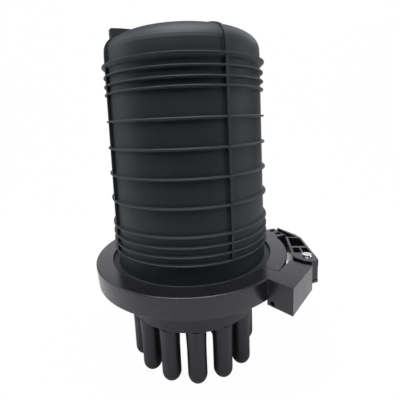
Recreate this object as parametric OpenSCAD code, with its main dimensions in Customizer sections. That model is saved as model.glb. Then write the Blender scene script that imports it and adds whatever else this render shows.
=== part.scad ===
/* [Dome] */
// Outside radius of the dome wall, level with the top of the clamp
dome_r = 90.5; // [86:0.5:96]
// Outside radius of the dome wall where the cap begins
dome_top_r = 87; // [80:0.5:90]
// Height of the dome wall above the clamp, up to the cap
dome_rise = 228.8; // [222:0.1:260]
// Height of the domed cap
cap_h = 29; // [20:0.5:40]
// Squareness of the cap's shoulder: 2 is an ellipse, more is squarer
cap_power = 2.9; // [2:0.1:4]
// Thickness of the dome wall
dome_wall = 3; // [2:0.1:4]

/* [Dome ribs] */
// How far a ring rib stands out of the wall
rib_out = 3.3; // [1.5:0.1:5]
// How far the topmost ring rib stands out of the wall
top_rib_out = 4.6; // [3:0.1:6]
// Thickness of a rib at its edge
rib_t = 2; // [1.2:0.1:3]
// Height of the lowest ring rib above the clamp
rib_first = 18.6; // [12:0.1:20]
// Spacing of the widely set ring ribs
rib_pitch = 28.7; // [24:0.1:29]
// Number of ring ribs in the closely set groups at the bottom and the top
rib_group = 4; // [2:1:4]
// Lowest gap in a group of ribs
rib_gap = 8.6; // [6:0.1:9]
// Growth of each gap in a group over the one below it
rib_gap_growth = 1.0; // [0:0.1:1.2]
// Number of gaps between the two groups
rib_spans = 5; // [3:1:5]
// Direction of the first upright rib, in degrees about the axis
upright_az = -64.3; // [-90:0.1:-50]
// Width of the upright ribs
upright_w = 2.6; // [1.5:0.1:4]

/* [Hanging lug] */
// Reach of the lug from the axis
lug_r = 82.5; // [76:0.5:84]
// Thickness of the lug
lug_t = 6; // [3:0.5:10]
// How far the lug's top edge runs in towards the axis
lug_run = 34; // [20:1:45]

/* [Flanges and seal] */
// Width of the two flanges, out from the dome wall
flange_w = 21; // [18:0.5:24]
// Slope of the flange faces that the clamp wedges together, in degrees
wedge = 5; // [2:0.5:8]
// Width of the seal ring
seal_w = 6; // [4:0.5:8]
// Depth of the groove that holds the seal ring
seal_groove = 4; // [3:0.5:5]
// Gap that the seal ring keeps between the flanges
seal_gap = 0.4; // [0.3:0.1:0.8]
// Height of the spigot that centres the dome on the base
spigot_h = 10; // [5:0.5:14]

/* [Base and ports] */
// Length of a round port below the base's floor
port_len = 68; // [50:1:85]
// Outside radius of the straight part of a round port
port_r = 11; // [9:0.5:11.5]
// Growth of a port's radius at its root
port_flare = 0.9; // [0.2:0.1:1]
// Length of the straight part of a port above its rounded tip
port_land = 34; // [20:1:38]
// Wall of a port
port_wall = 2.2; // [1.5:0.1:3]
// Radius of the circle on which the round ports stand
port_circle = 68; // [66:0.5:68]
// Number of equal places round that circle
port_places = 14; // [12:1:14]
// Length of the oval port's section, which points at the axis
oval_len = 56; // [46:1:60]
// Width of the oval port's section
oval_w = 30; // [22:1:32]
// How much shorter the oval port is than the round ones
oval_short = 14; // [0:1:25]
// Rounding of the oval port's closed end
oval_round = 8; // [3:0.5:10]
// Direction of the oval port, in degrees about the axis
oval_az = -13.7; // [-30:0.1:10]
// Outside radius of the skirt under the flange
skirt_r = 80; // [80:0.5:82]
// Height of the skirt, from its foot to the clamp
skirt_h = 39.5; // [32:0.5:50]
// Radius of the hollow curve between skirt and flange
skirt_fillet = 8; // [4:0.5:10]
// Wall of the skirt and thickness of the base's floor
base_wall = 4; // [3:0.5:5]

/* [Clamp] */
// Height of the clamp ring
clamp_h = 24.5; // [22:0.5:30]
// Thickness of the clamp's outer wall
clamp_web = 4; // [3:0.1:6]
// Gap between the flanges and the clamp's outer wall
clamp_gap = 1.7; // [1:0.1:2.5]
// How far the clamp's lips reach over the flanges
clamp_lip = 13.5; // [10:0.5:15]
// Thickness of the clamp's lips at their edge
clamp_lip_t = 3; // [2:0.1:4]
// Draft of the clamp's outer wall
clamp_draft = 1.3; // [0:0.1:2]
// Edge bevel of the clamp
clamp_bevel = 0.8; // [0.3:0.1:1.2]
// Direction of the seam between the clamp's halves, in degrees
seam_az = -41.3; // [-45:0.1:-38]
// Width of the seam
seam_w = 0.8; // [0.6:0.1:1.2]
// Radius of the pin that hinges the halves
hinge_pin_r = 2.5; // [2:0.1:3]
// Wall of a hinge knuckle round its pin
knuckle_wall = 3.5; // [2.5:0.1:4]
// Distance of the hinge pin from the clamp's outer wall
hinge_off = 5; // [4:0.1:6]

/* [Latch block] */
// Direction that the latch block faces, in degrees about the axis
latch_az = -40; // [-42:0.1:-38]
// How far the block stands out of the clamp's outer wall
block_out = 25.8; // [23:0.1:30]
// Reach of the block in front of its middle
block_front = 23; // [20:0.5:26]
// How far the block's front face leans forward at its outer edge
block_lean = 5; // [0:0.5:7]
// Reach of the block behind its middle
block_back = 29.5; // [26:0.5:32]
// How far the block hangs below the clamp
block_drop = 4; // [2:0.5:6]
// Wall of the block
block_wall = 3; // [2:0.1:4]

/* [Lever] */
// Distance of the lever's pin outside the clamp's outer wall
pin_out = 13.7; // [13:0.1:15]
// Distance of the lever's pin behind the block
pin_back = 17.4; // [17.2:0.1:19]
// Radius of the lever's pin
lever_pin_r = 4; // [3:0.1:4.5]
// Radius of the pin's head
pin_head_r = 5.8; // [5:0.1:7]
// Height of the pin's head
pin_head_h = 1.4; // [0.8:0.1:2]
// Direction that the closed lever faces, in degrees about the axis
lever_az = -8; // [-9:0.1:-7]
// Length of the lever's body behind its pin
lever_len = 59; // [56:0.5:61]
// Width from the pin to the lever's outer face at the pin
lever_outer = 8.6; // [8:0.1:10]
// Width from the pin to the lever's inner face at the pin
lever_inner = 15.8; // [15:0.1:16.2]
// Narrowing of the lever's body towards its free end, each side
lever_taper = 2.6; // [1:0.1:3]
// How far the lever's top stands above the clamp
lever_rise = 2.4; // [2:0.1:3.5]
// Wall of the lever
lever_wall = 2.4; // [1.8:0.1:3]
// Length of the lever's finger tongue
tongue_len = 36; // [30:0.5:38]
// Lean of the tongue inwards, in degrees
tongue_lean = 28.3; // [26:0.1:29]
// Depth of the tongue's catch nose
nose_out = 3; // [2:0.1:3.5]

/* [Catch] */
// Distance of the catch behind the lever's body, along the tongue
catch_start = 14; // [12:0.5:15]
// Length of the catch
catch_len = 29; // [26:0.5:31]
// Depth of the two pockets in the catch
catch_pocket = 9; // [4:0.5:14]

/* [Inner frame and trays] */
// Width of a splice tray
tray_w = 104; // [90:1:108]
// Height of a splice tray
tray_h = 172; // [140:1:180]
// Thickness of a splice tray
tray_t = 7; // [5:0.5:8]
// Distance from one tray to the next
tray_pitch = 9; // [8.5:0.1:9.5]
// Wall of a tray
tray_wall = 1.4; // [1:0.1:2]
// Radius of a tray's hinge pin
tray_pin_r = 1.5; // [1:0.1:2]
// Thickness of the frame's sheet steel
sheet = 2; // [1:0.1:2.5]
// Width of each of the frame's two uprights
frame_bar_w = 16; // [10:1:20]
// Width of the slack basket
basket_w = 100; // [80:1:104]
// Depth of the slack basket
basket_d = 24; // [16:1:26]
// Width of the strap round the trays
strap_w = 20; // [10:1:26]
// Thickness of the strap
strap_t = 1.2; // [0.8:0.1:2]
// Width of the plate that anchors the cables
anchor_w = 72; // [64:1:80]
// Reach of that plate, in front of the bracket
anchor_reach = 22; // [18:1:26]
// Distance between the cable anchors
anchor_pitch = 22; // [18:1:26]
// Width of an anchor's block
anchor_block_w = 14; // [10:0.5:16]
// Depth of an anchor's block
anchor_block_d = 12; // [9:0.5:14]
// Height of an anchor's block
anchor_block_h = 7; // [5:0.5:10]
// Radius of the hole for a cable's strength member
member_r = 2.5; // [1.5:0.1:3]

/* [Fits] */
// Clearance between the clamp and the flanges
face_gap = 0.35; // [0.2:0.05:0.6]
// Clearance between parts that move past each other
move_gap = 0.4; // [0.3:0.05:0.6]
// Clearance of a pin in its bore, on the radius
pin_gap = 0.05; // [0.02:0.01:0.1]
// Clearance of a piece that only rests in its seat
rest_gap = 0.2; // [0.1:0.05:0.3]

/* [Hidden] */
$fn = 96;
tiny = 0.01;

black = "#2b2c2e";
black_dome = "#26282a";
steel = "#c9cbcc";
brass = "#b5964f";
grey = "#8f9498";
white = "#e6e4de";
rubber = "#3a3a38";

// Levels up the axis, from halfway up the skirt, where a hanging hoop grips it
floor_z = -skirt_h / 2;
tip_z = floor_z - port_len;
clamp_low = floor_z + skirt_h;
clamp_top = clamp_low + clamp_h;
split_z = clamp_low + clamp_h / 2;
cap_z = clamp_top + dome_rise;
top_z = cap_z + cap_h;

// Radii of the flanges and of the clamp
flange_r = dome_r + flange_w;
web_r = flange_r + clamp_gap;
ring_r = web_r + clamp_web;
lip_r = flange_r - clamp_lip;
wedge_rise = tan(wedge);
flange_top = clamp_top - clamp_lip_t - face_gap;
flange_low = clamp_low + clamp_lip_t + face_gap;

function wall_r(z) = dome_r + (dome_top_r - dome_r) * (z - clamp_top) / dome_rise;

// The cap's profile: a point at angle a, for a cap of radius r and height h
function cap_point(a, r, h) = [
    r * pow(max(cos(a), 0), 2 / cap_power),
    cap_z + h * pow(max(sin(a), 0), 2 / cap_power)
];
cap_steps = 18;
function cap_points(r, h) = [
    for (i = [0 : cap_steps]) cap_point(90 * i / cap_steps, r, h)
];

// Heights of the ring ribs: a low group, the widely set ones and a top group
function group_height(i) = i * rib_gap + rib_gap_growth * i * (i - 1) / 2;
rib_low_z = clamp_top + rib_first;
rib_mid_z = rib_low_z + group_height(rib_group - 1);
rib_high_z = rib_mid_z + rib_spans * rib_pitch;
rib_heights = concat(
    [for (i = [0 : rib_group - 1]) rib_low_z + group_height(i)],
    [for (i = [1 : rib_spans - 1]) rib_mid_z + i * rib_pitch],
    [for (i = [0 : rib_group - 1]) rib_high_z + group_height(i)]
);
rib_top_z = rib_heights[len(rib_heights) - 1];

// A ring rib's section: a stubby nose with bevelled corners on a broad root
module rib_ring(z, out) {
    root_r = wall_r(z) - dome_wall / 2;
    edge_r = wall_r(z) + out;
    bevel = rib_t / 4;
    spread = out / 8;
    rotate_extrude()
        polygon([
            [root_r, z - rib_t / 2 - spread],
            [edge_r - bevel, z - rib_t / 2],
            [edge_r, z - rib_t / 2 + bevel],
            [edge_r, z + rib_t / 2 - bevel],
            [edge_r - bevel, z + rib_t / 2],
            [root_r, z + rib_t / 2 + spread]
        ]);
}

// The topmost rib: flat above and sloped below, like a drip edge
module rib_top(z, out) {
    root_r = wall_r(z) - dome_wall / 2;
    edge_r = wall_r(z) + out;
    rotate_extrude()
        polygon([
            [root_r, z - rib_t / 2 - out],
            [edge_r, z],
            [edge_r, z + rib_t / 2],
            [root_r, z + rib_t / 2]
        ]);
}

// An upright rib, flush with the ring ribs, that fades out over the cap's shoulder
module upright_rib() {
    fade = 5;
    cap_run = [
        for (i = [0 : cap_steps - fade])
            let (k = 1 - i / (cap_steps - fade))
            cap_point(90 * i / cap_steps, dome_top_r + rib_out * k, cap_h + rib_out * k)
    ];
    cap_back = [
        for (i = [cap_steps - fade : -1 : 0])
            cap_point(90 * i / cap_steps, dome_top_r - dome_wall / 2, cap_h - dome_wall / 2)
    ];
    rotate([90, 0, 0])
        linear_extrude(upright_w, center = true)
            polygon(concat(
                [
                    [wall_r(rib_low_z) - dome_wall / 2, rib_low_z],
                    [wall_r(rib_low_z) + rib_out, rib_low_z]
                ],
                cap_run,
                cap_back
            ));
}

// The lug on the cap's shoulder: a plate on top of an upright rib, with an upright edge
module hanging_lug() {
    lug_top = top_z - 1.2;
    bevel = 1.2;
    rotate([90, 0, 0])
        linear_extrude(lug_t, center = true)
            polygon([
                [lug_r - lug_run - 12, lug_top - 6],
                [lug_r - lug_run, lug_top - 0.4],
                [lug_r - lug_run * 0.7, lug_top + 0.3],
                [lug_r - lug_run * 0.3, lug_top],
                [lug_r - bevel, lug_top - 0.6],
                [lug_r - bevel / 3, lug_top - 0.6 - bevel / 3],
                [lug_r, lug_top - 0.6 - bevel],
                [lug_r, cap_z + cap_h / 3],
                [lug_r - 10, cap_z]
            ]);
}

module dome_shell() {
    flange_fall = clamp_lip * wedge_rise;
    edge = 0.6;
    color(black_dome)
    difference() {
        union() {
            rotate_extrude()
                polygon(concat(
                    [
                        [dome_r - dome_wall, split_z],
                        [flange_r - edge, split_z],
                        [flange_r, split_z + edge],
                        [flange_r, flange_top - flange_fall - edge],
                        [flange_r - edge, flange_top - flange_fall],
                        [lip_r, flange_top],
                        [wall_r(flange_top), flange_top]
                    ],
                    cap_points(dome_top_r, cap_h),
                    [[0, split_z]]
                ));
            for (z = rib_heights)
                if (z < rib_top_z)
                    rib_ring(z, rib_out);
            rib_top(rib_top_z, top_rib_out);
            for (turn = [0 : 90 : 270])
                rotate([0, 0, upright_az + turn])
                    upright_rib();
            rotate([0, 0, upright_az - 90])
                hanging_lug();
        }
        rotate_extrude()
            polygon(concat(
                [[0, split_z - 1], [dome_r - dome_wall, split_z - 1], [dome_r - dome_wall, clamp_top]],
                cap_points(dome_top_r - dome_wall, cap_h - dome_wall)
            ));
    }
}

// The seal lies in the base's groove and fills the gap under the dome's flange
seal_r = (dome_r + lip_r) / 2 + 2;
module seal_ring() {
    round = seal_w / 5;
    low = split_z - seal_gap - seal_groove;
    color(rubber)
    rotate_extrude()
        polygon([
            [seal_r - seal_w / 2 + round, low],
            [seal_r + seal_w / 2 - round, low],
            [seal_r + seal_w / 2, low + round],
            [seal_r + seal_w / 2, split_z - round],
            [seal_r + seal_w / 2 - round, split_z],
            [seal_r - seal_w / 2 + round, split_z],
            [seal_r - seal_w / 2, split_z - round],
            [seal_r - seal_w / 2, low + round]
        ]);
}

// Places round the port circle: one for the oval port, the one opposite for the earth stud
place_step = 360 / port_places;
earth_place = floor(port_places / 2);
function place_az(i) = oval_az + i * place_step;
function at_place(i) = [port_circle * cos(place_az(i)), port_circle * sin(place_az(i)), 0];

// A round port: rounded tip, straight part for the sleeve, flared root
module port_outside(r, flare, length) {
    translate([0, 0, tip_z + port_r])
        sphere(r);
    translate([0, 0, tip_z + port_r])
        cylinder(h = port_land, r = r);
    translate([0, 0, tip_z + port_r + port_land])
        cylinder(h = length - port_r - port_land, r1 = r, r2 = r + flare);
}

// The oval port's section, half of it or all of it, with a rounded closed end
function oval_side(w, low, high, round) = concat(
    [[0, low]],
    [for (a = [-90 : 15 : 0]) [w / 2 - round + round * cos(a), low + round + round * sin(a)]],
    [[w / 2, high], [0, high]]
);
module oval_port(inset, high) {
    w = oval_w - 2 * inset;
    low = tip_z + oval_short + inset;
    round = oval_round - inset / 2;
    straight = oval_len - oval_w;
    half = oval_side(w, low, high, round);
    for (side = [-1, 1])
        translate([side * straight / 2, 0, 0])
            rotate_extrude()
                polygon(half);
    for (side = [0, 1])
        mirror([0, side, 0])
            translate([-straight / 2, 0, 0])
                rotate([90, 0, 90])
                    linear_extrude(straight)
                        polygon(half);
}

oval_r = port_circle + port_r - oval_len / 2 - 4;

// The earth stud: its threaded ends are at full size, and its core runs through nuts and floor
stud_r = 4;
stud_core_r = 3.3;
stud_free = 8;
stud_runout = 0.4;
washer_r = 8;
washer_t = 1.6;
nut_h = 6;
nut_r = 7.5;
boss_drop = 3;
earth_r = skirt_r - base_wall - washer_r - 1;
function at_earth() = [earth_r * cos(place_az(earth_place)), earth_r * sin(place_az(earth_place)), 0];
module base_body() {
    neck_r = skirt_r + skirt_fillet;
    fillet_z = flange_low - skirt_fillet - 4;
    inner_r = skirt_r - base_wall;
    spigot_r = dome_r - dome_wall - rest_gap;
    spigot_in = spigot_r - 3;
    flange_fall = clamp_lip * wedge_rise;
    base_top = split_z - seal_gap;
    boss_r = washer_r + 1;
    edge = 0.6;
    foot = 1.2;
    color(black)
    difference() {
        union() {
            rotate_extrude()
                polygon(concat(
                    [
                        [0, floor_z],
                        [skirt_r - foot, floor_z],
                        [skirt_r, floor_z + foot],
                        [skirt_r, fillet_z]
                    ],
                    [
                        for (a = [15 : 15 : 90])
                            [neck_r - skirt_fillet * cos(a), fillet_z + skirt_fillet * sin(a)]
                    ],
                    [
                        [neck_r, flange_low],
                        [lip_r, flange_low],
                        [flange_r - edge, flange_low + flange_fall],
                        [flange_r, flange_low + flange_fall + edge],
                        [flange_r, base_top - edge],
                        [flange_r - edge, base_top],
                        [spigot_r, base_top],
                        [spigot_r, split_z + spigot_h - 1],
                        [spigot_r - 1, split_z + spigot_h],
                        [spigot_in, split_z + spigot_h],
                        [spigot_in, flange_low],
                        [inner_r, fillet_z],
                        [inner_r, floor_z + base_wall],
                        [0, floor_z + base_wall]
                    ]
                ));
            for (i = [1 : port_places - 1])
                if (i != earth_place)
                    translate(at_place(i))
                        port_outside(port_r, port_flare, port_len + tiny);
            rotate([0, 0, oval_az])
                translate([oval_r, 0, 0])
                    oval_port(0, floor_z + base_wall);
            translate(at_earth() + [0, 0, floor_z - boss_drop])
                cylinder(h = boss_drop + base_wall, r = boss_r);
            for (side = [-1, 1])
                translate([side * foot_x, foot_y, floor_z + base_wall - tiny])
                    cylinder(h = boss_h + tiny, r = foot_boss_r);
        }
        rotate_extrude()
            translate([seal_r - seal_w / 2 - rest_gap, base_top - seal_groove])
                square([seal_w + 2 * rest_gap, seal_groove + 1]);
        for (i = [1 : port_places - 1])
            if (i != earth_place)
                translate(at_place(i))
                    port_outside(port_r - port_wall, port_flare, port_len + base_wall + 1);
        rotate([0, 0, oval_az])
            translate([oval_r, 0, 0])
                oval_port(port_wall, floor_z + base_wall + 1);
        translate(at_earth() + [0, 0, floor_z - boss_drop - 1])
            cylinder(h = base_wall + boss_drop + 2, r = stud_core_r + pin_gap);
        for (side = [-1, 1])
            translate([side * foot_x, foot_y, floor_z + base_wall + boss_h - screw_len])
                cylinder(h = screw_len + 1, r = screw_r + pin_gap);
    }
}

// The earth stud passes through the floor, with a washer and a nut on each side of it
module earth_stud() {
    stack = washer_t + nut_h + stud_runout;
    low = floor_z - boss_drop - stack;
    high = floor_z + base_wall + stack;
    color(brass)
    translate(at_earth()) {
        translate([0, 0, low - tiny])
            cylinder(h = high - low + 2 * tiny, r = stud_core_r);
        translate([0, 0, low - stud_free])
            cylinder(h = stud_free, r = stud_r);
        translate([0, 0, high])
            cylinder(h = stud_free, r = stud_r);
    }
}
module earth_nuts() {
    color(brass)
    for (low = [floor_z - boss_drop - washer_t - nut_h, floor_z + base_wall + washer_t])
        translate(at_earth() + [0, 0, low])
            difference() {
                cylinder(h = nut_h, r = nut_r, $fn = 6);
                translate([0, 0, -1])
                    cylinder(h = nut_h + 2, r = stud_core_r + pin_gap);
            }
}
module earth_washers() {
    color(steel)
    for (low = [floor_z - boss_drop - washer_t, floor_z + base_wall])
        translate(at_earth() + [0, 0, low])
            difference() {
                cylinder(h = washer_t, r = washer_r);
                translate([0, 0, -1])
                    cylinder(h = washer_t + 2, r = stud_core_r + pin_gap);
            }
}

// The clamp's section: a channel whose lips wedge the flanges together
module clamp_section() {
    rise = (web_r - lip_r) * wedge_rise;
    low_r = ring_r - clamp_draft;
    low_lip = lip_r - 3;
    polygon([
        [lip_r, clamp_top],
        [ring_r - clamp_bevel, clamp_top],
        [ring_r, clamp_top - clamp_bevel],
        [low_r, clamp_low + clamp_bevel],
        [low_r - clamp_bevel, clamp_low],
        [low_lip, clamp_low],
        [low_lip, clamp_low + clamp_lip_t],
        [lip_r, clamp_low + clamp_lip_t],
        [web_r, clamp_low + clamp_lip_t + rise],
        [web_r, clamp_top - clamp_lip_t - rise],
        [lip_r, clamp_top - clamp_lip_t]
    ]);
}

// Half of the clamp ring, from one angle to another
module clamp_arc(from, to) {
    rotate([0, 0, from])
        rotate_extrude(angle = to - from)
            clamp_section();
}

// Angles at which the two halves end, with the seam's width between them
half_seam = asin(seam_w / 2 / ring_r);
hinge_az = seam_az + 180;
hinge_r = ring_r + hinge_off;
knuckle_r = hinge_pin_r + knuckle_wall;
knuckle_h = clamp_h / 3;
function at_hinge() = [hinge_r * cos(hinge_az), hinge_r * sin(hinge_az), 0];

// A hinge knuckle with the web that joins it to its half; side is 1 or -1
module knuckle(low, high, side) {
    web_w = knuckle_r - 1;
    web_end = hinge_pin_r + knuckle_wall / 3;
    rotate([0, 0, hinge_az]) {
        translate([hinge_r, 0, low])
            cylinder(h = high - low, r = knuckle_r);
        translate([ring_r - clamp_web / 2, side > 0 ? 0 : -web_w, low])
            cube([clamp_web / 2 + hinge_off - web_end, web_w, high - low]);
    }
}
module hinge_bore() {
    translate(at_hinge() + [0, 0, clamp_low - 1])
        cylinder(h = clamp_h + 2, r = hinge_pin_r + pin_gap);
}
module knuckle_relief(low, high) {
    translate(at_hinge() + [0, 0, low])
        cylinder(h = high - low, r = knuckle_r + move_gap);
}

// The latch frame: origin on the clamp's outer wall, x outwards, y to the rear
module latch_frame() {
    rotate([0, 0, latch_az])
        translate([ring_r, 0, 0])
            children();
}
// The lever frame: origin on the lever's pin, y along the closed lever
module lever_frame() {
    latch_frame()
        translate([pin_out, block_back + pin_back, 0])
            rotate([0, 0, lever_az - latch_az])
                children();
}
// The tongue frame: origin at the tongue's root, y along the tongue's inner face
tongue_x = lever_outer - lever_taper - 7.6;
lever_open = 99;
module tongue_frame() {
    lever_frame()
        translate([tongue_x, lever_len + lever_wall, 0])
            rotate([0, 0, tongue_lean])
                children();
}

block_gap = 0.8;
block_low = clamp_low - block_drop;
drain_r = 2.5;
module block_outline(grow) {
    polygon([
        [-clamp_web + 1 + grow, -block_front + grow],
        [block_out - grow, -block_front - block_lean + grow],
        [block_out - grow, block_back - grow],
        [block_gap + grow, block_back - grow],
        [block_gap + grow, -2],
        [-clamp_web + 1 + grow, -2]
    ]);
}

// The ear that holds the lever's pin: a tongue of the block, round at the rear and squared
// in front, where it fills the fork out to the lever's outer face
ear_h = clamp_h * 0.62;
ear_low = clamp_low + 4;
ear_r = 9.2;
ear_front = 11.6;
module block_ear() {
    translate([0, 0, ear_low])
        linear_extrude(ear_h) {
            ear_web(0);
            translate([pin_out, block_back + pin_back])
                rotate(lever_az - latch_az) {
                    circle(ear_r);
                    polygon([
                        [0, -1],
                        [ear_r - 0.1, -1],
                        [ear_r + 0.2, -ear_front],
                        [2, -pin_back + 2],
                        [-1, -pin_back + 3.2]
                    ]);
                }
        }
}
// The ear's web is narrower on the outside, which lets the lever swing wide open
ear_web_in = ear_r * 0.84;
ear_web_out = ear_r * 0.68;
module ear_web(grow) {
    short = ear_r / 2 + 0.2;
    translate([pin_out - ear_web_in - grow, block_back - block_wall])
        square([ear_web_in + ear_web_out + 2 * grow, pin_back + block_wall - short]);
}

module clamp_front() {
    fillet = 3;
    mid_low = clamp_low + knuckle_h + move_gap / 2;
    mid_high = clamp_top - knuckle_h - move_gap / 2;
    color(black)
    difference() {
        union() {
            difference() {
                clamp_arc(hinge_az + half_seam, hinge_az + 180 - half_seam);
                knuckle_relief(clamp_low - 1, mid_low + move_gap);
                knuckle_relief(mid_high - move_gap, clamp_top + 1);
            }
            difference() {
                latch_frame()
                    translate([0, 0, block_low])
                        linear_extrude(clamp_top - block_low)
                            block_outline(0);
                translate([0, 0, block_low - 1])
                    cylinder(h = clamp_top - block_low + 2, r = web_r);
                rotate([0, 0, seam_az - half_seam])
                    translate([0, 0, block_low - 1])
                        rotate_extrude(angle = 60)
                            square([ring_r + block_gap, clamp_top - block_low + 2]);
            }
            latch_frame()
                block_ear();
            knuckle(mid_low, mid_high, 1);
        }
        // the block is cored from below, with one wall across it
        latch_frame()
            translate([0, 0, block_low - 1])
                for (y = [[-block_front + block_wall, -1.5], [1.5, block_back - block_wall]])
                    linear_extrude(clamp_top - block_low + 1 - block_wall)
                        intersection() {
                            block_outline(block_wall);
                            translate([block_gap + block_wall, y[0] - (y[0] < 0 ? block_lean : 0)])
                                square([block_out, y[1] - y[0] + (y[0] < 0 ? block_lean : 0)]);
                        }
        // a drain hole in its front wall, low beside the clamp's wall
        latch_frame()
            translate([drain_r + 0.4, -block_front - block_lean - 1, block_low + drain_r + 0.9])
                rotate([-90, 0, 0])
                    cylinder(h = block_lean + block_wall + 2.5, r = drain_r);
        lever_frame()
            translate([0, 0, clamp_low - 1])
                cylinder(h = clamp_h + 2, r = lever_pin_r + pin_gap);
        hinge_bore();
    }
}

// The catch on the rear half: a cored block beside the tongue, with a ramped notch
catch_in = 34;
notch_at = 30;
nose_ramp = 0.45;
nose_w = 2;
nose_low = clamp_low + 6;
nose_high = clamp_top - 7;
catch_gap = 0.8;
module nose_outline(grow) {
    run = (nose_out + catch_gap) / nose_ramp;
    polygon([
        [0.5, notch_at - run - nose_w - grow],
        [0.5, notch_at + nose_out + grow],
        [-nose_out - catch_gap - grow, notch_at + grow / 2],
        [-nose_out - catch_gap - grow, notch_at - nose_w - grow]
    ]);
}
module clamp_rear() {
    low_high = clamp_low + knuckle_h - move_gap / 2;
    high_low = clamp_top - knuckle_h + move_gap / 2;
    color(black)
    difference() {
        union() {
            difference() {
                clamp_arc(seam_az + half_seam, hinge_az - half_seam);
                knuckle_relief(low_high - move_gap, high_low + move_gap);
            }
            difference() {
                tongue_frame()
                    translate([-catch_gap - catch_in, catch_start, clamp_low])
                        cube([catch_in, catch_len, clamp_h]);
                translate([0, 0, clamp_low - 1])
                    cylinder(h = clamp_h + 2, r = ring_r - clamp_web / 2);
            }
            knuckle(clamp_low, low_high, -1);
            knuckle(high_low, clamp_top, -1);
        }
        tongue_frame()
            for (y = [catch_start + 6, catch_start + 18])
                translate([-13, y, clamp_top - catch_pocket])
                    cube([8, 7, catch_pocket + 1]);
        tongue_frame()
            translate([-catch_gap, 0, nose_low - move_gap])
                linear_extrude(nose_high - nose_low + 2 * move_gap)
                    nose_outline(move_gap);
        hinge_bore();
    }
}

module clamp_hinge_pin() {
    color(steel)
    translate(at_hinge() + [0, 0, clamp_low])
        cylinder(h = clamp_h, r = hinge_pin_r);
}

// The lever: a ribbed tray of pockets with a fork over the ear, and a finger tongue
lever_low = clamp_low + 0.5;
lever_top = clamp_top + lever_rise;
fork_r = 16.2;
module lever_outline(grow) {
    front = pin_back - 1.2;
    polygon([
        [-lever_inner + grow, -2],
        [-lever_inner + lever_taper + grow, lever_len - grow],
        [lever_outer - lever_taper - grow, lever_len - 4 - grow],
        [lever_outer - grow, 8],
        [lever_outer + 1 - grow, -3],
        [lever_outer + 1 - grow, -12],
        [2, -front],
        [-6, -front + 2],
        [-lever_inner + 2 + grow, -7]
    ]);
}
module latch_lever() {
    pocket_low = lever_low + 3;
    throat_r = ear_r + move_gap + 0.3;
    row_start = throat_r + lever_wall;
    ledge = ear_low + ear_h + move_gap + 2.2;
    cross = 24.5;
    color(black)
    difference() {
        union() {
            lever_frame()
                translate([0, 0, lever_low])
                    linear_extrude(lever_top - lever_low)
                        lever_outline(0);
            tongue_frame()
                translate([0, 0, lever_low])
                    linear_extrude(lever_top - lever_low)
                        polygon([[0, -8], [0, tongue_len], [1.6, tongue_len], [5.2, 4], [3.1, -10]]);
            tongue_frame()
                translate([0, 0, nose_low])
                    linear_extrude(nose_high - nose_low)
                        nose_outline(0);
        }
        // the two rows of pockets
        lever_frame()
            translate([0, 0, pocket_low])
                linear_extrude(lever_top - pocket_low + 1) {
                    intersection() {
                        lever_outline(lever_wall);
                        translate([-lever_inner, cross + 2.2])
                            square([2 * lever_inner, lever_len]);
                    }
                    intersection() {
                        lever_outline(lever_wall);
                        translate([-lever_inner, row_start])
                            square([lever_inner - 4, cross - 2.2 - row_start]);
                    }
                    intersection() {
                        lever_outline(lever_wall);
                        translate([-2, row_start])
                            square([2 * lever_inner, cross - 2.2 - row_start]);
                    }
                }
        // the first row runs on over the fork's upper plate as two shallow recesses
        lever_frame()
            translate([0, 0, ledge])
                linear_extrude(lever_top - ledge + 1) {
                    intersection() {
                        lever_outline(lever_wall);
                        translate([-lever_inner, pin_head_r + 1.4])
                            square([lever_inner - 4, row_start - pin_head_r]);
                    }
                    intersection() {
                        lever_outline(lever_wall);
                        translate([-2, pin_head_r + 1.4])
                            square([2 * lever_inner, row_start - pin_head_r]);
                    }
                }
        // room for the block's ear between the fork's two plates
        lever_frame()
            translate([0, 0, ear_low - move_gap])
                linear_extrude(ear_h + 2 * move_gap) {
                    circle(ear_r + move_gap);
                    translate([-30, -30])
                        square([60, 30]);
                    rotate(lever_open)
                        translate([0, -30])
                            square([throat_r, 30]);
                }
        latch_frame()
            translate([0, 0, ear_low - move_gap])
                linear_extrude(ear_h + 2 * move_gap)
                    ear_web(move_gap);
        // the fork's front edge is level with the block's end, and thin enough to pass over it
        latch_frame()
            translate([-40, 0, lever_low - 1])
                cube([100, block_back, lever_top - lever_low + 2]);
        lever_frame()
            translate([0, 0, lever_low - 1])
                difference() {
                    translate([0, 0, 0])
                        cylinder(h = clamp_top + move_gap - lever_low + 1, r = 40);
                    translate([0, 0, -1])
                        cylinder(h = clamp_h + 10, r = fork_r);
                    translate([-60, ear_r, -1])
                        cube([120, 120, clamp_h + 10]);
                    translate([-fork_r * 2, -2, -1])
                        cube([120, 120, clamp_h + 10]);
                }
        lever_frame()
            translate([0, 0, lever_low - 1])
                cylinder(h = clamp_h + 10, r = lever_pin_r + pin_gap);
    }
}

module latch_pin() {
    color(steel)
    lever_frame() {
        translate([0, 0, lever_low - 3])
            cylinder(h = lever_top - lever_low + 3, r = lever_pin_r);
        translate([0, 0, lever_top])
            cylinder(h = pin_head_h, r1 = pin_head_r, r2 = pin_head_r - 0.7);
    }
}
module latch_pin_clip() {
    color(steel)
    lever_frame()
        translate([0, 0, lever_low - 1.4])
            difference() {
                cylinder(h = 1.2, r = lever_pin_r + 2.5);
                translate([0, 0, -1])
                    cylinder(h = 4, r = lever_pin_r + pin_gap);
                translate([0, -1.5, -1])
                    cube([20, 3, 4]);
            }
}

// Inside the dome: a steel bracket stands on two bosses of the base's floor
boss_h = 8;
foot_boss_r = 6;
screw_r = 2;
screw_len = 8;
foot_x = 34;
foot_y = 14;
foot_z = floor_z + base_wall + boss_h;
frame_y = foot_y - 8;
rack_z = foot_z + sheet + 48;
tray_low = rack_z + 14;
frame_top = tray_low + tray_h + 4;
frame_x = tray_w / 2 - frame_bar_w;

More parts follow.
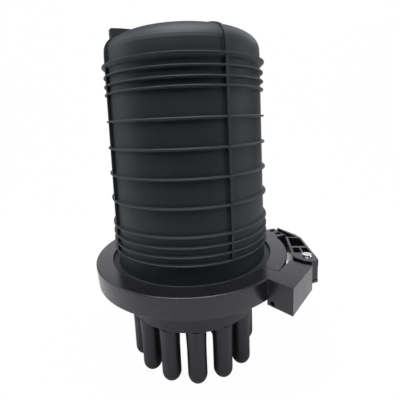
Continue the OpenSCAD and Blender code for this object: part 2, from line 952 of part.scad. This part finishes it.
module frame_bracket() {
    color(steel)
    difference() {
        union() {
            translate([-foot_x - 10, frame_y, foot_z])
                cube([2 * foot_x + 20, 18, sheet]);
            for (side = [-1, 1])
                translate([side * foot_x - frame_bar_w / 2, frame_y, foot_z])
                    cube([frame_bar_w, sheet, frame_top - foot_z]);
            translate([-foot_x, frame_y, frame_top - frame_bar_w])
                cube([2 * foot_x, sheet, frame_bar_w]);
            translate([-foot_x, frame_y, rack_z - frame_bar_w])
                cube([2 * foot_x, sheet, frame_bar_w]);
        }
        for (side = [-1, 1])
            translate([side * foot_x, foot_y, foot_z - 1])
                cylinder(h = sheet + 2, r = screw_r + rest_gap);
    }
}

// A pan-head screw that points down, with its head's seat at the origin
module pan_screw(length) {
    translate([0, 0, -length])
        cylinder(h = length + tiny, r = screw_r);
    cylinder(h = 2.4, r1 = 2 * screw_r, r2 = 1.6 * screw_r);
}
module frame_screws() {
    color(steel)
    for (side = [-1, 1])
        translate([side * foot_x, foot_y, foot_z + sheet])
            pan_screw(sheet + 6);
}

// The rack carries the trays' hinge pins, one step for each tray
tray_count = 6;
rack_w = 40;
rack_y = frame_y + sheet;
function tray_y(i) = rack_y + 1 + (i - 1) * tray_pitch;
module tray_rack() {
    color(grey)
    difference() {
        union() {
            translate([-rack_w / 2, rack_y, rack_z - 12])
                cube([rack_w, tray_count * tray_pitch + 2, 8]);
            for (i = [1 : tray_count])
                for (side = [-1, 1])
                    translate([side * (rack_w / 2 - 3) - 3, tray_y(i), rack_z - 4 - tiny])
                        cube([6, tray_t - 1, 12]);
        }
        for (i = [1 : tray_count])
            translate([-rack_w / 2 - 1, tray_y(i) + (tray_t - 1) / 2, rack_z + 4])
                rotate([0, 90, 0])
                    cylinder(h = rack_w + 2, r = tray_pin_r + pin_gap);
    }
}
module tray_pins() {
    color(steel)
    for (i = [1 : tray_count])
        translate([-rack_w / 2, tray_y(i) + (tray_t - 1) / 2, rack_z + 4])
            rotate([0, 90, 0])
                cylinder(h = rack_w, r = tray_pin_r);
}

// A tray: a shallow dish with round corners, two fibre drums, a splice comb and a hinge tab
module tray_plan(inset) {
    corner = 12;
    w = tray_w - 2 * inset;
    h = tray_h - 2 * inset;
    r = corner - inset;
    for (x = [-1, 1])
        for (z = [-1, 1])
            translate([x * (w / 2 - r), z * (h / 2 - r)])
                circle(r);
    square([w - 2 * r, h], center = true);
    square([w, h - 2 * r], center = true);
}
module splice_tray(i) {
    drum_r = 24;
    depth = tray_t - tray_wall;
    comb_w = 4;
    color(white)
    translate([0, tray_y(i) + tray_t, tray_low + tray_h / 2])
        rotate([90, 0, 0]) {
            difference() {
                linear_extrude(tray_t)
                    tray_plan(0);
                translate([0, 0, tray_wall])
                    linear_extrude(tray_t)
                        tray_plan(tray_wall);
            }
            for (z = [-1, 1])
                translate([0, z * (tray_h / 2 - drum_r - 12), tray_wall - tiny])
                    difference() {
                        cylinder(h = depth, r = drum_r);
                        translate([0, 0, -1])
                            cylinder(h = depth + 2, r = drum_r - tray_wall);
                    }
            for (k = [-3 : 3])
                translate([k * comb_w * 1.5 - 0.6, -10, tray_wall - tiny])
                    cube([1.2, 20, depth - 1]);
        }
    color(white)
    difference() {
        translate([-rack_w / 2 + 7, tray_y(i) + 0.5, rack_z + 1])
            cube([rack_w - 14, tray_t - 2, tray_low - rack_z - 1 + tray_wall]);
        translate([-rack_w / 2, tray_y(i) + (tray_t - 1) / 2, rack_z + 4])
            rotate([0, 90, 0])
                cylinder(h = rack_w, r = tray_pin_r + pin_gap);
    }
}
module tray_cover() {
    color(white)
    translate([0, tray_y(tray_count) + tray_t + rest_gap + 1.2, tray_low + tray_h / 2])
        rotate([90, 0, 0])
            linear_extrude(1.2)
                tray_plan(0.5);
}

// The strap holds the trays to the bracket, between the basket's screws
module tray_strap() {
    y0 = frame_y - rest_gap - strap_t;
    y1 = tray_y(tray_count) + tray_t + 2 * rest_gap + 1.2 + strap_t;
    w = tray_w + 2 * rest_gap + 2 * strap_t;
    color(rubber)
    translate([-w / 2, y0, basket_low + basket_h * 0.6 - strap_w / 2])
        difference() {
            cube([w, y1 - y0, strap_w]);
            translate([strap_t, strap_t, -1])
                cube([w - 2 * strap_t, y1 - y0 - 2 * strap_t, strap_w + 2]);
        }
}

// The slack basket hangs on the bracket's other face
basket_h = tray_h - 22;
basket_low = tray_low + 6;
module slack_basket() {
    wall = 2;
    color(grey)
    translate([-basket_w / 2, frame_y - basket_d, basket_low])
        difference() {
            cube([basket_w, basket_d - strap_t - 2 * rest_gap, basket_h]);
            translate([wall, -1, wall])
                cube([basket_w - 2 * wall, basket_d - strap_t - 2 * rest_gap - wall + 1, basket_h - 2 * wall]);
            for (side = [-1, 1])
                for (z = basket_screw_z)
                    translate([basket_w / 2 + side * foot_x, -2, z])
                        rotate([-90, 0, 0])
                            cylinder(h = basket_d + 4, r = screw_r + pin_gap);
        }
    color(grey)
    for (side = [-1, 1])
        for (z = basket_screw_z)
            translate([side * foot_x, frame_y - strap_t - 2 * rest_gap - tiny, basket_low + z])
                rotate([-90, 0, 0])
                    difference() {
                        cylinder(h = strap_t + 2 * rest_gap + tiny, r = 5);
                        translate([0, 0, -1])
                            cylinder(h = strap_t + 3, r = screw_r + pin_gap);
                    }
}
basket_screw_z = [24, basket_h - 24];
module basket_screws() {
    color(steel)
    for (side = [-1, 1])
        for (z = basket_screw_z)
            translate([side * foot_x, frame_y - strap_t - 2 * rest_gap - 2, basket_low + z])
                rotate([90, 0, 0])
                    pan_screw(2 + strap_t + 2 * rest_gap - rest_gap);
}

// The anchor plate holds the cables' strength members, low on the bracket
anchor_z = foot_z + sheet + 16;
anchor_x = [-anchor_pitch, 0, anchor_pitch];
anchor_y = frame_y - anchor_reach + anchor_block_d / 2 + 4;
anchor_lip = 12;
module anchor_plate() {
    color(steel)
    difference() {
        translate([-anchor_w / 2, frame_y - anchor_reach, anchor_z])
            cube([anchor_w, anchor_reach - rest_gap / 2, sheet]);
        for (x = anchor_x)
            translate([x, anchor_y, anchor_z - 1])
                cylinder(h = sheet + 2, r = screw_r + pin_gap);
    }
    color(steel)
    translate([-anchor_w / 2, frame_y - sheet - rest_gap / 2, anchor_z - anchor_lip])
        cube([anchor_w, sheet, anchor_lip + tiny]);
}
module anchor_clamps() {
    color(steel)
    for (x = anchor_x)
        translate([x, anchor_y, anchor_z + sheet])
            difference() {
                translate([-anchor_block_w / 2, -anchor_block_d / 2, 0])
                    cube([anchor_block_w, anchor_block_d, anchor_block_h]);
                translate([-anchor_block_w / 2 - 1, 0, 0])
                    rotate([0, 90, 0])
                        cylinder(h = anchor_block_w + 2, r = member_r);
                translate([0, 0, -1])
                    cylinder(h = anchor_block_h + 2, r = screw_r + pin_gap);
            }
}
module anchor_screws() {
    color(steel)
    for (x = anchor_x)
        translate([x, anchor_y, anchor_z + sheet + anchor_block_h])
            pan_screw(anchor_block_h + sheet + 3);
}

dome_shell();
seal_ring();
base_body();
clamp_rear();
clamp_front();
clamp_hinge_pin();
latch_lever();
latch_pin();
latch_pin_clip();
earth_stud();
earth_nuts();
earth_washers();
frame_bracket();
frame_screws();
tray_rack();
splice_tray(1);  // splice_tray_1
splice_tray(2);  // splice_tray_2
splice_tray(3);  // splice_tray_3
splice_tray(4);  // splice_tray_4
splice_tray(5);  // splice_tray_5
splice_tray(6);  // splice_tray_6
tray_cover();
tray_pins();
tray_strap();
slack_basket();
basket_screws();
anchor_plate();
anchor_clamps();
anchor_screws();
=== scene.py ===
import math

import bpy
from mathutils import Matrix, Vector


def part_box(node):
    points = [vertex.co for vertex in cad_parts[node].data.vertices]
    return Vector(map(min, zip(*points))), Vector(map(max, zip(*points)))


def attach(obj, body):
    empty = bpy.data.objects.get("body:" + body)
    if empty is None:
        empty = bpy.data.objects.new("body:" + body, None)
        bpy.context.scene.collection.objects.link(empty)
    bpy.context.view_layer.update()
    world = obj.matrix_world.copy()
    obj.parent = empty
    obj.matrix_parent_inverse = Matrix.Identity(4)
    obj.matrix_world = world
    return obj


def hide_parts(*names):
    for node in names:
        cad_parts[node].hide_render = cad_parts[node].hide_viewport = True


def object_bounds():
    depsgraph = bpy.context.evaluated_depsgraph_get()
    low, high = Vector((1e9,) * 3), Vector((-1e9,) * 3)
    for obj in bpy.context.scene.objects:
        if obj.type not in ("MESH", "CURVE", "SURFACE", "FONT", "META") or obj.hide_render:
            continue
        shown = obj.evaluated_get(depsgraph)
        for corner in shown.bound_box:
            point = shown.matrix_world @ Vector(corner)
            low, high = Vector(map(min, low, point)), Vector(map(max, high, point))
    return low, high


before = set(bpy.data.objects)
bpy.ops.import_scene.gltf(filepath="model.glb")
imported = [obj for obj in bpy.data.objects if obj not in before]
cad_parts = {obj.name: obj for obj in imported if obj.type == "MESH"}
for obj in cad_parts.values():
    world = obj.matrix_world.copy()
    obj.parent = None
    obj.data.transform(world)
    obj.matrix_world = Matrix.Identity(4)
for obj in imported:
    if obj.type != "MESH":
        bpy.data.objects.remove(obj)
cad_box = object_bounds()
MM = 0.001


# ---------------------------------------------------------------- colours and nodes
def linear(hex_colour):
    """An sRGB hex colour as linear RGBA."""
    values = [int(hex_colour[i : i + 2], 16) / 255 for i in (1, 3, 5)]
    return tuple(
        v / 12.92 if v <= 0.04045 else ((v + 0.055) / 1.055) ** 2.4 for v in values
    ) + (1.0,)


def add(tree, kind, settings=None, values=None, links=None):
    """Add a node: its properties, its sockets' values and the outputs linked to its inputs."""
    node = tree.nodes.new(kind)
    for name, value in (settings or {}).items():
        setattr(node, name, value)
    for name, value in (values or {}).items():
        node.inputs[name].default_value = value
    for name, output in (links or {}).items():
        tree.links.new(output, node.inputs[name])
    return node


def blank_material(name):
    """A new material and its emptied node tree."""
    material = bpy.data.materials.new(name)
    material.use_nodes = True
    material.node_tree.nodes.clear()
    return material, material.node_tree


# moulded plastic: width of the melt's flow mottle, and how far the mottle and a rounded
# edge move the roughness
MOTTLE_MM = 25
MATTER_BY = 0.07
GLOSSIER_BY = 0.05
WORN_GLOSSIER_BY = 0.1
GRAIN_STRENGTH = 0.6
BEVEL_SAMPLES = 6
# cosine of the rounded to the flat normal: where an edge starts, and where its painted highlight
# is full
EDGE_STARTS = 0.995
EDGE_FULL = 0.87


def moulded_plastic(
    name, colour, pale, edge_highlight, roughness, grain_mm, grain_depth_mm, edge_mm,
    ior=1.49, sheen_hue="#ffffff",
):
    """Injection-moulded plastic: spark-eroded grain, a faint flow mottle, and edges
    smoothed by handling and painted paler as a highlight."""
    material, tree = blank_material(name)
    place = add(tree, "ShaderNodeTexCoord").outputs["Object"]
    # grain of the mould's spark-eroded skin
    grain = add(
        tree, "ShaderNodeTexNoise",
        values={"Scale": 1 / (grain_mm * MM), "Detail": 3.0, "Roughness": 0.6},
        links={"Vector": place},
    ).outputs["Fac"]
    # flow mottle of the melt
    mottle = add(
        tree, "ShaderNodeTexNoise",
        values={"Scale": 1 / (MOTTLE_MM * MM), "Detail": 2.0, "Roughness": 0.5},
        links={"Vector": place},
    ).outputs["Fac"]
    # every moulded edge is slightly round, and handling has polished it
    rounded = add(
        tree, "ShaderNodeBevel", settings={"samples": BEVEL_SAMPLES},
        values={"Radius": edge_mm * MM},
    ).outputs["Normal"]
    flat = add(tree, "ShaderNodeNewGeometry").outputs["Normal"]
    cosine = add(
        tree, "ShaderNodeVectorMath", settings={"operation": "DOT_PRODUCT"},
        links={0: rounded, 1: flat},
    ).outputs["Value"]
    edge = add(
        tree, "ShaderNodeMapRange", values={"From Min": EDGE_STARTS, "From Max": EDGE_FULL},
        links={"Value": cosine},
    ).outputs["Result"]
    skin = add(
        tree, "ShaderNodeMix", settings={"data_type": "RGBA"},
        values={"A": linear(colour), "B": linear(pale)}, links={"Factor": mottle},
    ).outputs["Result"]
    # painted highlight: a paler colour is mixed onto the rounded edges that the bevel mask finds
    tone = add(
        tree, "ShaderNodeMix", settings={"data_type": "RGBA"},
        values={"B": linear(edge_highlight)}, links={"Factor": edge, "A": skin},
    ).outputs["Result"]
    satin = add(
        tree, "ShaderNodeMapRange",
        values={"To Min": roughness - GLOSSIER_BY, "To Max": roughness + MATTER_BY},
        links={"Value": mottle},
    ).outputs["Result"]
    rough = add(
        tree, "ShaderNodeMapRange", values={"To Max": roughness - WORN_GLOSSIER_BY},
        links={"Value": edge, "To Min": satin},
    ).outputs["Result"]
    bump = add(
        tree, "ShaderNodeBump",
        values={"Strength": GRAIN_STRENGTH, "Distance": grain_depth_mm * MM},
        links={"Height": grain, "Normal": rounded},
    ).outputs["Normal"]
    shader = add(
        tree, "ShaderNodeBsdfPrincipled", values={"IOR": ior, "Specular Tint": linear(sheen_hue)},
        links={"Base Color": tone, "Roughness": rough, "Normal": bump},
    )
    add(tree, "ShaderNodeOutputMaterial", links={"Surface": shader.outputs["BSDF"]})
    return material


# turned metal: marks are drawn out along Z to 1 / MARK_STRETCH of their width, and the
# roughness runs from a little glossier to a little duller across them
MARK_STRETCH = 0.08
MARK_GLOSSIER_BY = 0.06
MARK_DULLER_BY = 0.1
MARK_STRENGTH = 0.05
MARK_DEPTH_MM = 0.004


def turned_metal(name, colour, roughness, tool_mm):
    """Turned or rolled metal: fine tool marks drawn out along Z, and a soft sheen."""
    material, tree = blank_material(name)
    place = add(tree, "ShaderNodeTexCoord").outputs["Object"]
    stretched = add(
        tree, "ShaderNodeMapping", values={"Scale": (1.0, 1.0, MARK_STRETCH)},
        links={"Vector": place},
    ).outputs["Vector"]
    marks = add(
        tree, "ShaderNodeTexNoise", values={"Scale": 1 / (tool_mm * MM), "Detail": 4.0},
        links={"Vector": stretched},
    ).outputs["Fac"]
    rough = add(
        tree, "ShaderNodeMapRange",
        values={"To Min": roughness - MARK_GLOSSIER_BY, "To Max": roughness + MARK_DULLER_BY},
        links={"Value": marks},
    ).outputs["Result"]
    bump = add(
        tree, "ShaderNodeBump",
        values={"Strength": MARK_STRENGTH, "Distance": MARK_DEPTH_MM * MM},
        links={"Height": marks},
    ).outputs["Normal"]
    shader = add(
        tree, "ShaderNodeBsdfPrincipled", values={"Base Color": linear(colour), "Metallic": 1.0},
        links={"Roughness": rough, "Normal": bump},
    )
    add(tree, "ShaderNodeOutputMaterial", links={"Surface": shader.outputs["BSDF"]})
    return material


# each plastic's third colour is the paler painted highlight on its rounded edges
# black polypropylene of the dome, moulded with a fine matt grain: dull, slightly blue black
dome_polypropylene = moulded_plastic(
    "dome_polypropylene", "#181e21", "#1c2225", "#484d51",
    roughness=0.54, grain_mm=0.5, grain_depth_mm=0.04, edge_mm=0.7, sheen_hue="#f3f1fd",
)
# the base is the same plastic with a smoother skin, so it shows softer, wider highlights
base_polypropylene = moulded_plastic(
    "base_polypropylene", "#17171a", "#1b1b1e", "#323236",
    roughness=0.4, grain_mm=0.6, grain_depth_mm=0.03, edge_mm=0.7, sheen_hue="#f1f0ff",
)
# glass-filled nylon of the clamp and its lever: harder, satin, with clear reflections
clamp_nylon = moulded_plastic(
    "clamp_nylon", "#161619", "#1a1a1d", "#323236",
    roughness=0.26, grain_mm=0.7, grain_depth_mm=0.01, edge_mm=0.9,
    ior=1.53, sheen_hue="#f1f0ff",
)
# silicone rubber: dead matt and dark grey
seal_silicone = moulded_plastic(
    "seal_silicone", "#35322f", "#3b3835", "#45423f",
    roughness=0.7, grain_mm=0.4, grain_depth_mm=0.03, edge_mm=0.3, ior=1.41,
)
# pale grey ABS of the rack and basket: satin
frame_abs = moulded_plastic(
    "frame_abs", "#8b9094", "#93989c", "#a2a6a9",
    roughness=0.45, grain_mm=0.6, grain_depth_mm=0.03, edge_mm=0.3,
)
# ivory ABS of the trays: a little smoother and warmer
tray_abs = moulded_plastic(
    "tray_abs", "#dedbd0", "#e6e3d8", "#efede4",
    roughness=0.4, grain_mm=0.6, grain_depth_mm=0.02, edge_mm=0.3,
)
# zinc-plated and stainless steel: bright, slightly soft
bright_steel = turned_metal("bright_steel", "#dcdddf", roughness=0.2, tool_mm=0.4)
# turned brass: warm, with a duller sheen
stud_brass = turned_metal("stud_brass", "#b79352", roughness=0.3, tool_mm=0.4)

FINISH = {
    "dome_shell": dome_polypropylene,
    "base_body": base_polypropylene,
    "clamp_rear": clamp_nylon,
    "clamp_front": clamp_nylon,
    "latch_lever": clamp_nylon,
    "seal_ring": seal_silicone,
    "tray_strap": seal_silicone,
    "tray_rack": frame_abs,
    "slack_basket": frame_abs,
    "tray_cover": tray_abs,
    "earth_stud": stud_brass,
    "earth_nuts": stud_brass,
}
# the trays share one finish, and all pieces not named are steel
for name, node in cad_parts.items():
    finish = FINISH.get(name, tray_abs if name.startswith("splice_tray") else bright_steel)
    for slot in node.material_slots:
        slot.material = finish
    if not node.material_slots:
        node.data.materials.append(finish)


# ---------------------------------------------------------------- thread of the earth stud
STUD_PITCH = 1.25 * MM
STUD_CREST_R = 4.0 * MM
STUD_ROOT_R = 3.3 * MM
# length of each threaded end, and how far the mesh runs past it onto the plain core
STUD_FREE = 8.0 * MM
STUD_RUNOUT = 0.05 * MM
# above 1, this leaves a flat on each crest
STUD_FLANK_SLOPE = 1.2
# the end's chamfer: radius lost below the root at the tip, and the radius gained per length
STUD_TIP_DROP = 0.2 * MM
STUD_CHAMFER_SLOPE = 1.5
STUD_SIDES = 48
ROWS_A_TURN = 8


def stud_radius(z, share_of_turn, z_low, z_high):
    """The stud's radius at a height and a share of a turn round it: a V-shaped thread with
    narrow flat crests on both free ends, chamfered at the tips, and a plain core between."""
    from_end = min(z - z_low, z_high - z)
    if from_end > STUD_FREE:
        return STUD_ROOT_R
    flank = abs(2 * ((z / STUD_PITCH - share_of_turn) % 1) - 1)
    depth = STUD_CREST_R - STUD_ROOT_R
    radius = STUD_ROOT_R + depth * min(1.0, STUD_FLANK_SLOPE * flank)
    return min(radius, STUD_ROOT_R - STUD_TIP_DROP + from_end * STUD_CHAMFER_SLOPE)


stud_low, stud_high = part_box("earth_stud")
stud_x, stud_y = (stud_low[0] + stud_high[0]) / 2, (stud_low[1] + stud_high[1]) / 2
row_height = STUD_PITCH / ROWS_A_TURN
rows = round(STUD_FREE / row_height)
heights = [stud_low[2] + k * row_height for k in range(rows + 1)]
heights.append(stud_low[2] + STUD_FREE + STUD_RUNOUT)
# the upper end mirrors the lower one
heights += [stud_low[2] + stud_high[2] - z for z in reversed(heights)]
stud_points = []
for z in heights:
    for k in range(STUD_SIDES):
        radius = stud_radius(z, k / STUD_SIDES, stud_low[2], stud_high[2])
        angle = 2 * math.pi * k / STUD_SIDES
        stud_points.append(
            (stud_x + radius * math.cos(angle), stud_y + radius * math.sin(angle), z)
        )
stud_faces = []
for row in range(len(heights) - 1):
    for k in range(STUD_SIDES):
        near, far = row * STUD_SIDES, (row + 1) * STUD_SIDES
        after = (k + 1) % STUD_SIDES
        stud_faces.append((near + k, near + after, far + after, far + k))
# a flat cap closes each end
stud_faces.append(tuple(reversed(range(STUD_SIDES))))
stud_faces.append(tuple(range(len(stud_points) - STUD_SIDES, len(stud_points))))
stud_data = bpy.data.meshes.new("threaded_stud")
stud_data.from_pydata(stud_points, [], stud_faces)
stud_data.materials.append(stud_brass)
threaded_stud = bpy.data.objects.new("threaded_stud", stud_data)
bpy.context.collection.objects.link(threaded_stud)
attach(threaded_stud, "closure")
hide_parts("earth_stud")


# ---------------------------------------------------------------- camera
SENSOR_MM = 36.0
LENS_MM = 28.2
SHIFT_X, SHIFT_Y = 0.0048, -0.0617
CLIP_START = 0.01
# turned right of +Y, tipped down and rolled, in degrees
YAW, PITCH, ROLL = 2.624, 9.712, -2.435
# left of the axis, in front of it, and above the top of the clamp
EYE_MM = (-5.69, -380.61, 158.6)

ring_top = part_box("clamp_rear")[1][2]
camera_data = bpy.data.cameras.new("camera")
camera_data.sensor_width = SENSOR_MM
camera_data.lens = LENS_MM
camera_data.shift_x = SHIFT_X
camera_data.shift_y = SHIFT_Y
camera_data.clip_start = CLIP_START
camera = bpy.data.objects.new("camera", camera_data)
bpy.context.collection.objects.link(camera)
yaw, pitch, roll = math.radians(YAW), math.radians(PITCH), math.radians(ROLL)
ahead = Vector(
    (math.sin(yaw) * math.cos(pitch), math.cos(yaw) * math.cos(pitch), -math.sin(pitch))
)
right = Vector((math.cos(yaw), -math.sin(yaw), 0))
up = right.cross(ahead)
across = math.cos(roll) * right + math.sin(roll) * up
upward = -math.sin(roll) * right + math.cos(roll) * up
facing = Matrix((across, upward, -ahead)).transposed()
eye = Vector((EYE_MM[0] * MM, EYE_MM[1] * MM, EYE_MM[2] * MM + ring_top))
camera.matrix_world = Matrix.Translation(eye) @ facing.to_4x4()
bpy.context.scene.camera = camera


# ---------------------------------------------------------------- table, sweep and lights
# one sheet of white card: the table runs back into a cove and up behind the object
CARD_HALF = 0.9
CARD_FRONT = -0.45
CARD_BACK = 0.95
CARD_TOP = 0.75
COVE = 0.3
COVE_STEPS = 12
# behind this the card is backdrop, in front of it table
BACKDROP_FROM = 0.1
# share of pure white in what the camera sees of the card and mirror-like faces see of the
# backdrop, and the share that mirror-like faces see of the table
CARD_GLOW = 0.985
TABLE_GLOW = 0.03
# the object stands this far above the table
TABLE_GAP = 0.5 * MM

floor_z = cad_box[0][2] - TABLE_GAP
profile = [(CARD_FRONT, floor_z), (BACKDROP_FROM, floor_z), (CARD_BACK - COVE, floor_z)]
for k in range(1, COVE_STEPS):
    angle = math.radians(90 * k / COVE_STEPS)
    profile.append(
        (CARD_BACK - COVE + COVE * math.sin(angle), floor_z + COVE * (1 - math.cos(angle)))
    )
profile += [(CARD_BACK, floor_z + COVE), (CARD_BACK, CARD_TOP)]
card_points = [(side * CARD_HALF, y, z) for y, z in profile for side in (-1, 1)]
strips = [(2 * k, 2 * k + 1, 2 * k + 3, 2 * k + 2) for k in range(len(profile) - 1)]
sweep_data = bpy.data.meshes.new("white_sweep")
sweep_data.from_pydata(card_points, [], strips)
sweep_data.shade_smooth()
sweep = bpy.data.objects.new("white_sweep", sweep_data)
bpy.context.collection.objects.link(sweep)


def white_card(name, colour, mirrored_share):
    """Matt white card: the camera sees CARD_GLOW of pure white in it, and mirror-like faces
    see mirrored_share of it."""
    material, tree = blank_material(name)
    rays = add(tree, "ShaderNodeLightPath").outputs
    mirror = add(
        tree, "ShaderNodeMath", settings={"operation": "MAXIMUM"},
        links={0: rays["Is Glossy Ray"], 1: rays["Is Transmission Ray"]},
    ).outputs["Value"]
    mirrored = add(
        tree, "ShaderNodeMapRange", values={"To Max": mirrored_share}, links={"Value": mirror},
    ).outputs["Result"]
    seen = add(
        tree, "ShaderNodeMapRange", values={"To Max": CARD_GLOW},
        links={"Value": rays["Is Camera Ray"]},
    ).outputs["Result"]
    share = add(
        tree, "ShaderNodeMath", settings={"operation": "MAXIMUM"}, links={0: seen, 1: mirrored},
    ).outputs["Value"]
    paper = add(tree, "ShaderNodeBsdfDiffuse", values={"Color": linear(colour)}).outputs["BSDF"]
    glow = add(
        tree, "ShaderNodeEmission", values={"Color": (1, 1, 1, 1), "Strength": 1.0},
    ).outputs["Emission"]
    mixed = add(tree, "ShaderNodeMixShader", links={0: share, 1: paper, 2: glow})
    add(tree, "ShaderNodeOutputMaterial", links={"Surface": mixed.outputs["Shader"]})
    return material


# the card behind the object glows in mirror-like faces; the table in front hardly does
sweep_data.materials.append(white_card("white_table_card", "#dedede", TABLE_GLOW))
sweep_data.materials.append(white_card("white_backdrop_card", "#e8e8e8", CARD_GLOW))
for polygon in sweep_data.polygons:
    polygon.material_index = 1 if polygon.center.y > BACKDROP_FROM else 0

# softboxes round the object: compass angle from +X, height angle and power in watts
MIDDLE = Vector((0, 0, 0.1))
DISTANCE = 1.35
SOFTBOX_SIDE = 0.8
SOFTBOXES = {
    "softbox_top": (0, 88, 7.6),
    "softbox_front_top": (-90, 68, 8.0),
    "softbox_left": (-130, 58, 8.5),
    "softbox_right": (-50, 58, 6.5),
    "softbox_far_left": (170, 40, 3.8),
    "softbox_back_right": (35, 40, 4.2),
    "softbox_low_right": (-10, 10, 3.9),
    "softbox_low_left": (170, 8, 2.5),
}
for name, (compass, height, power) in SOFTBOXES.items():
    compass, height = math.radians(compass), math.radians(height)
    data = bpy.data.lights.new(name, "AREA")
    data.shape = "SQUARE"
    data.size = SOFTBOX_SIDE
    data.energy = power
    lamp = bpy.data.objects.new(name, data)
    bpy.context.collection.objects.link(lamp)
    away = Vector((
        math.cos(height) * math.cos(compass), math.cos(height) * math.sin(compass),
        math.sin(height),
    ))
    lamp.location = MIDDLE + DISTANCE * away
    lamp.rotation_euler = (-away).to_track_quat("-Z", "Y").to_euler()
    lamp.visible_camera = False

# the studio: white where the camera looks past the card, and a dim room for all other rays
ROOM_LIGHT = 0.02
world = bpy.data.worlds.new("studio")
bpy.context.scene.world = world
world.use_nodes = True
tree = world.node_tree
tree.nodes.clear()
seen = add(tree, "ShaderNodeLightPath").outputs["Is Camera Ray"]
room = add(
    tree, "ShaderNodeBackground", values={"Color": (1, 1, 1, 1), "Strength": ROOM_LIGHT},
).outputs["Background"]
white = add(
    tree, "ShaderNodeBackground", values={"Color": (1, 1, 1, 1), "Strength": 1.0},
).outputs["Background"]
mixed = add(tree, "ShaderNodeMixShader", links={0: seen, 1: room, 2: white})
add(tree, "ShaderNodeOutputWorld", links={"Surface": mixed.outputs["Shader"]})

bpy.context.scene.view_settings.view_transform = "Standard"
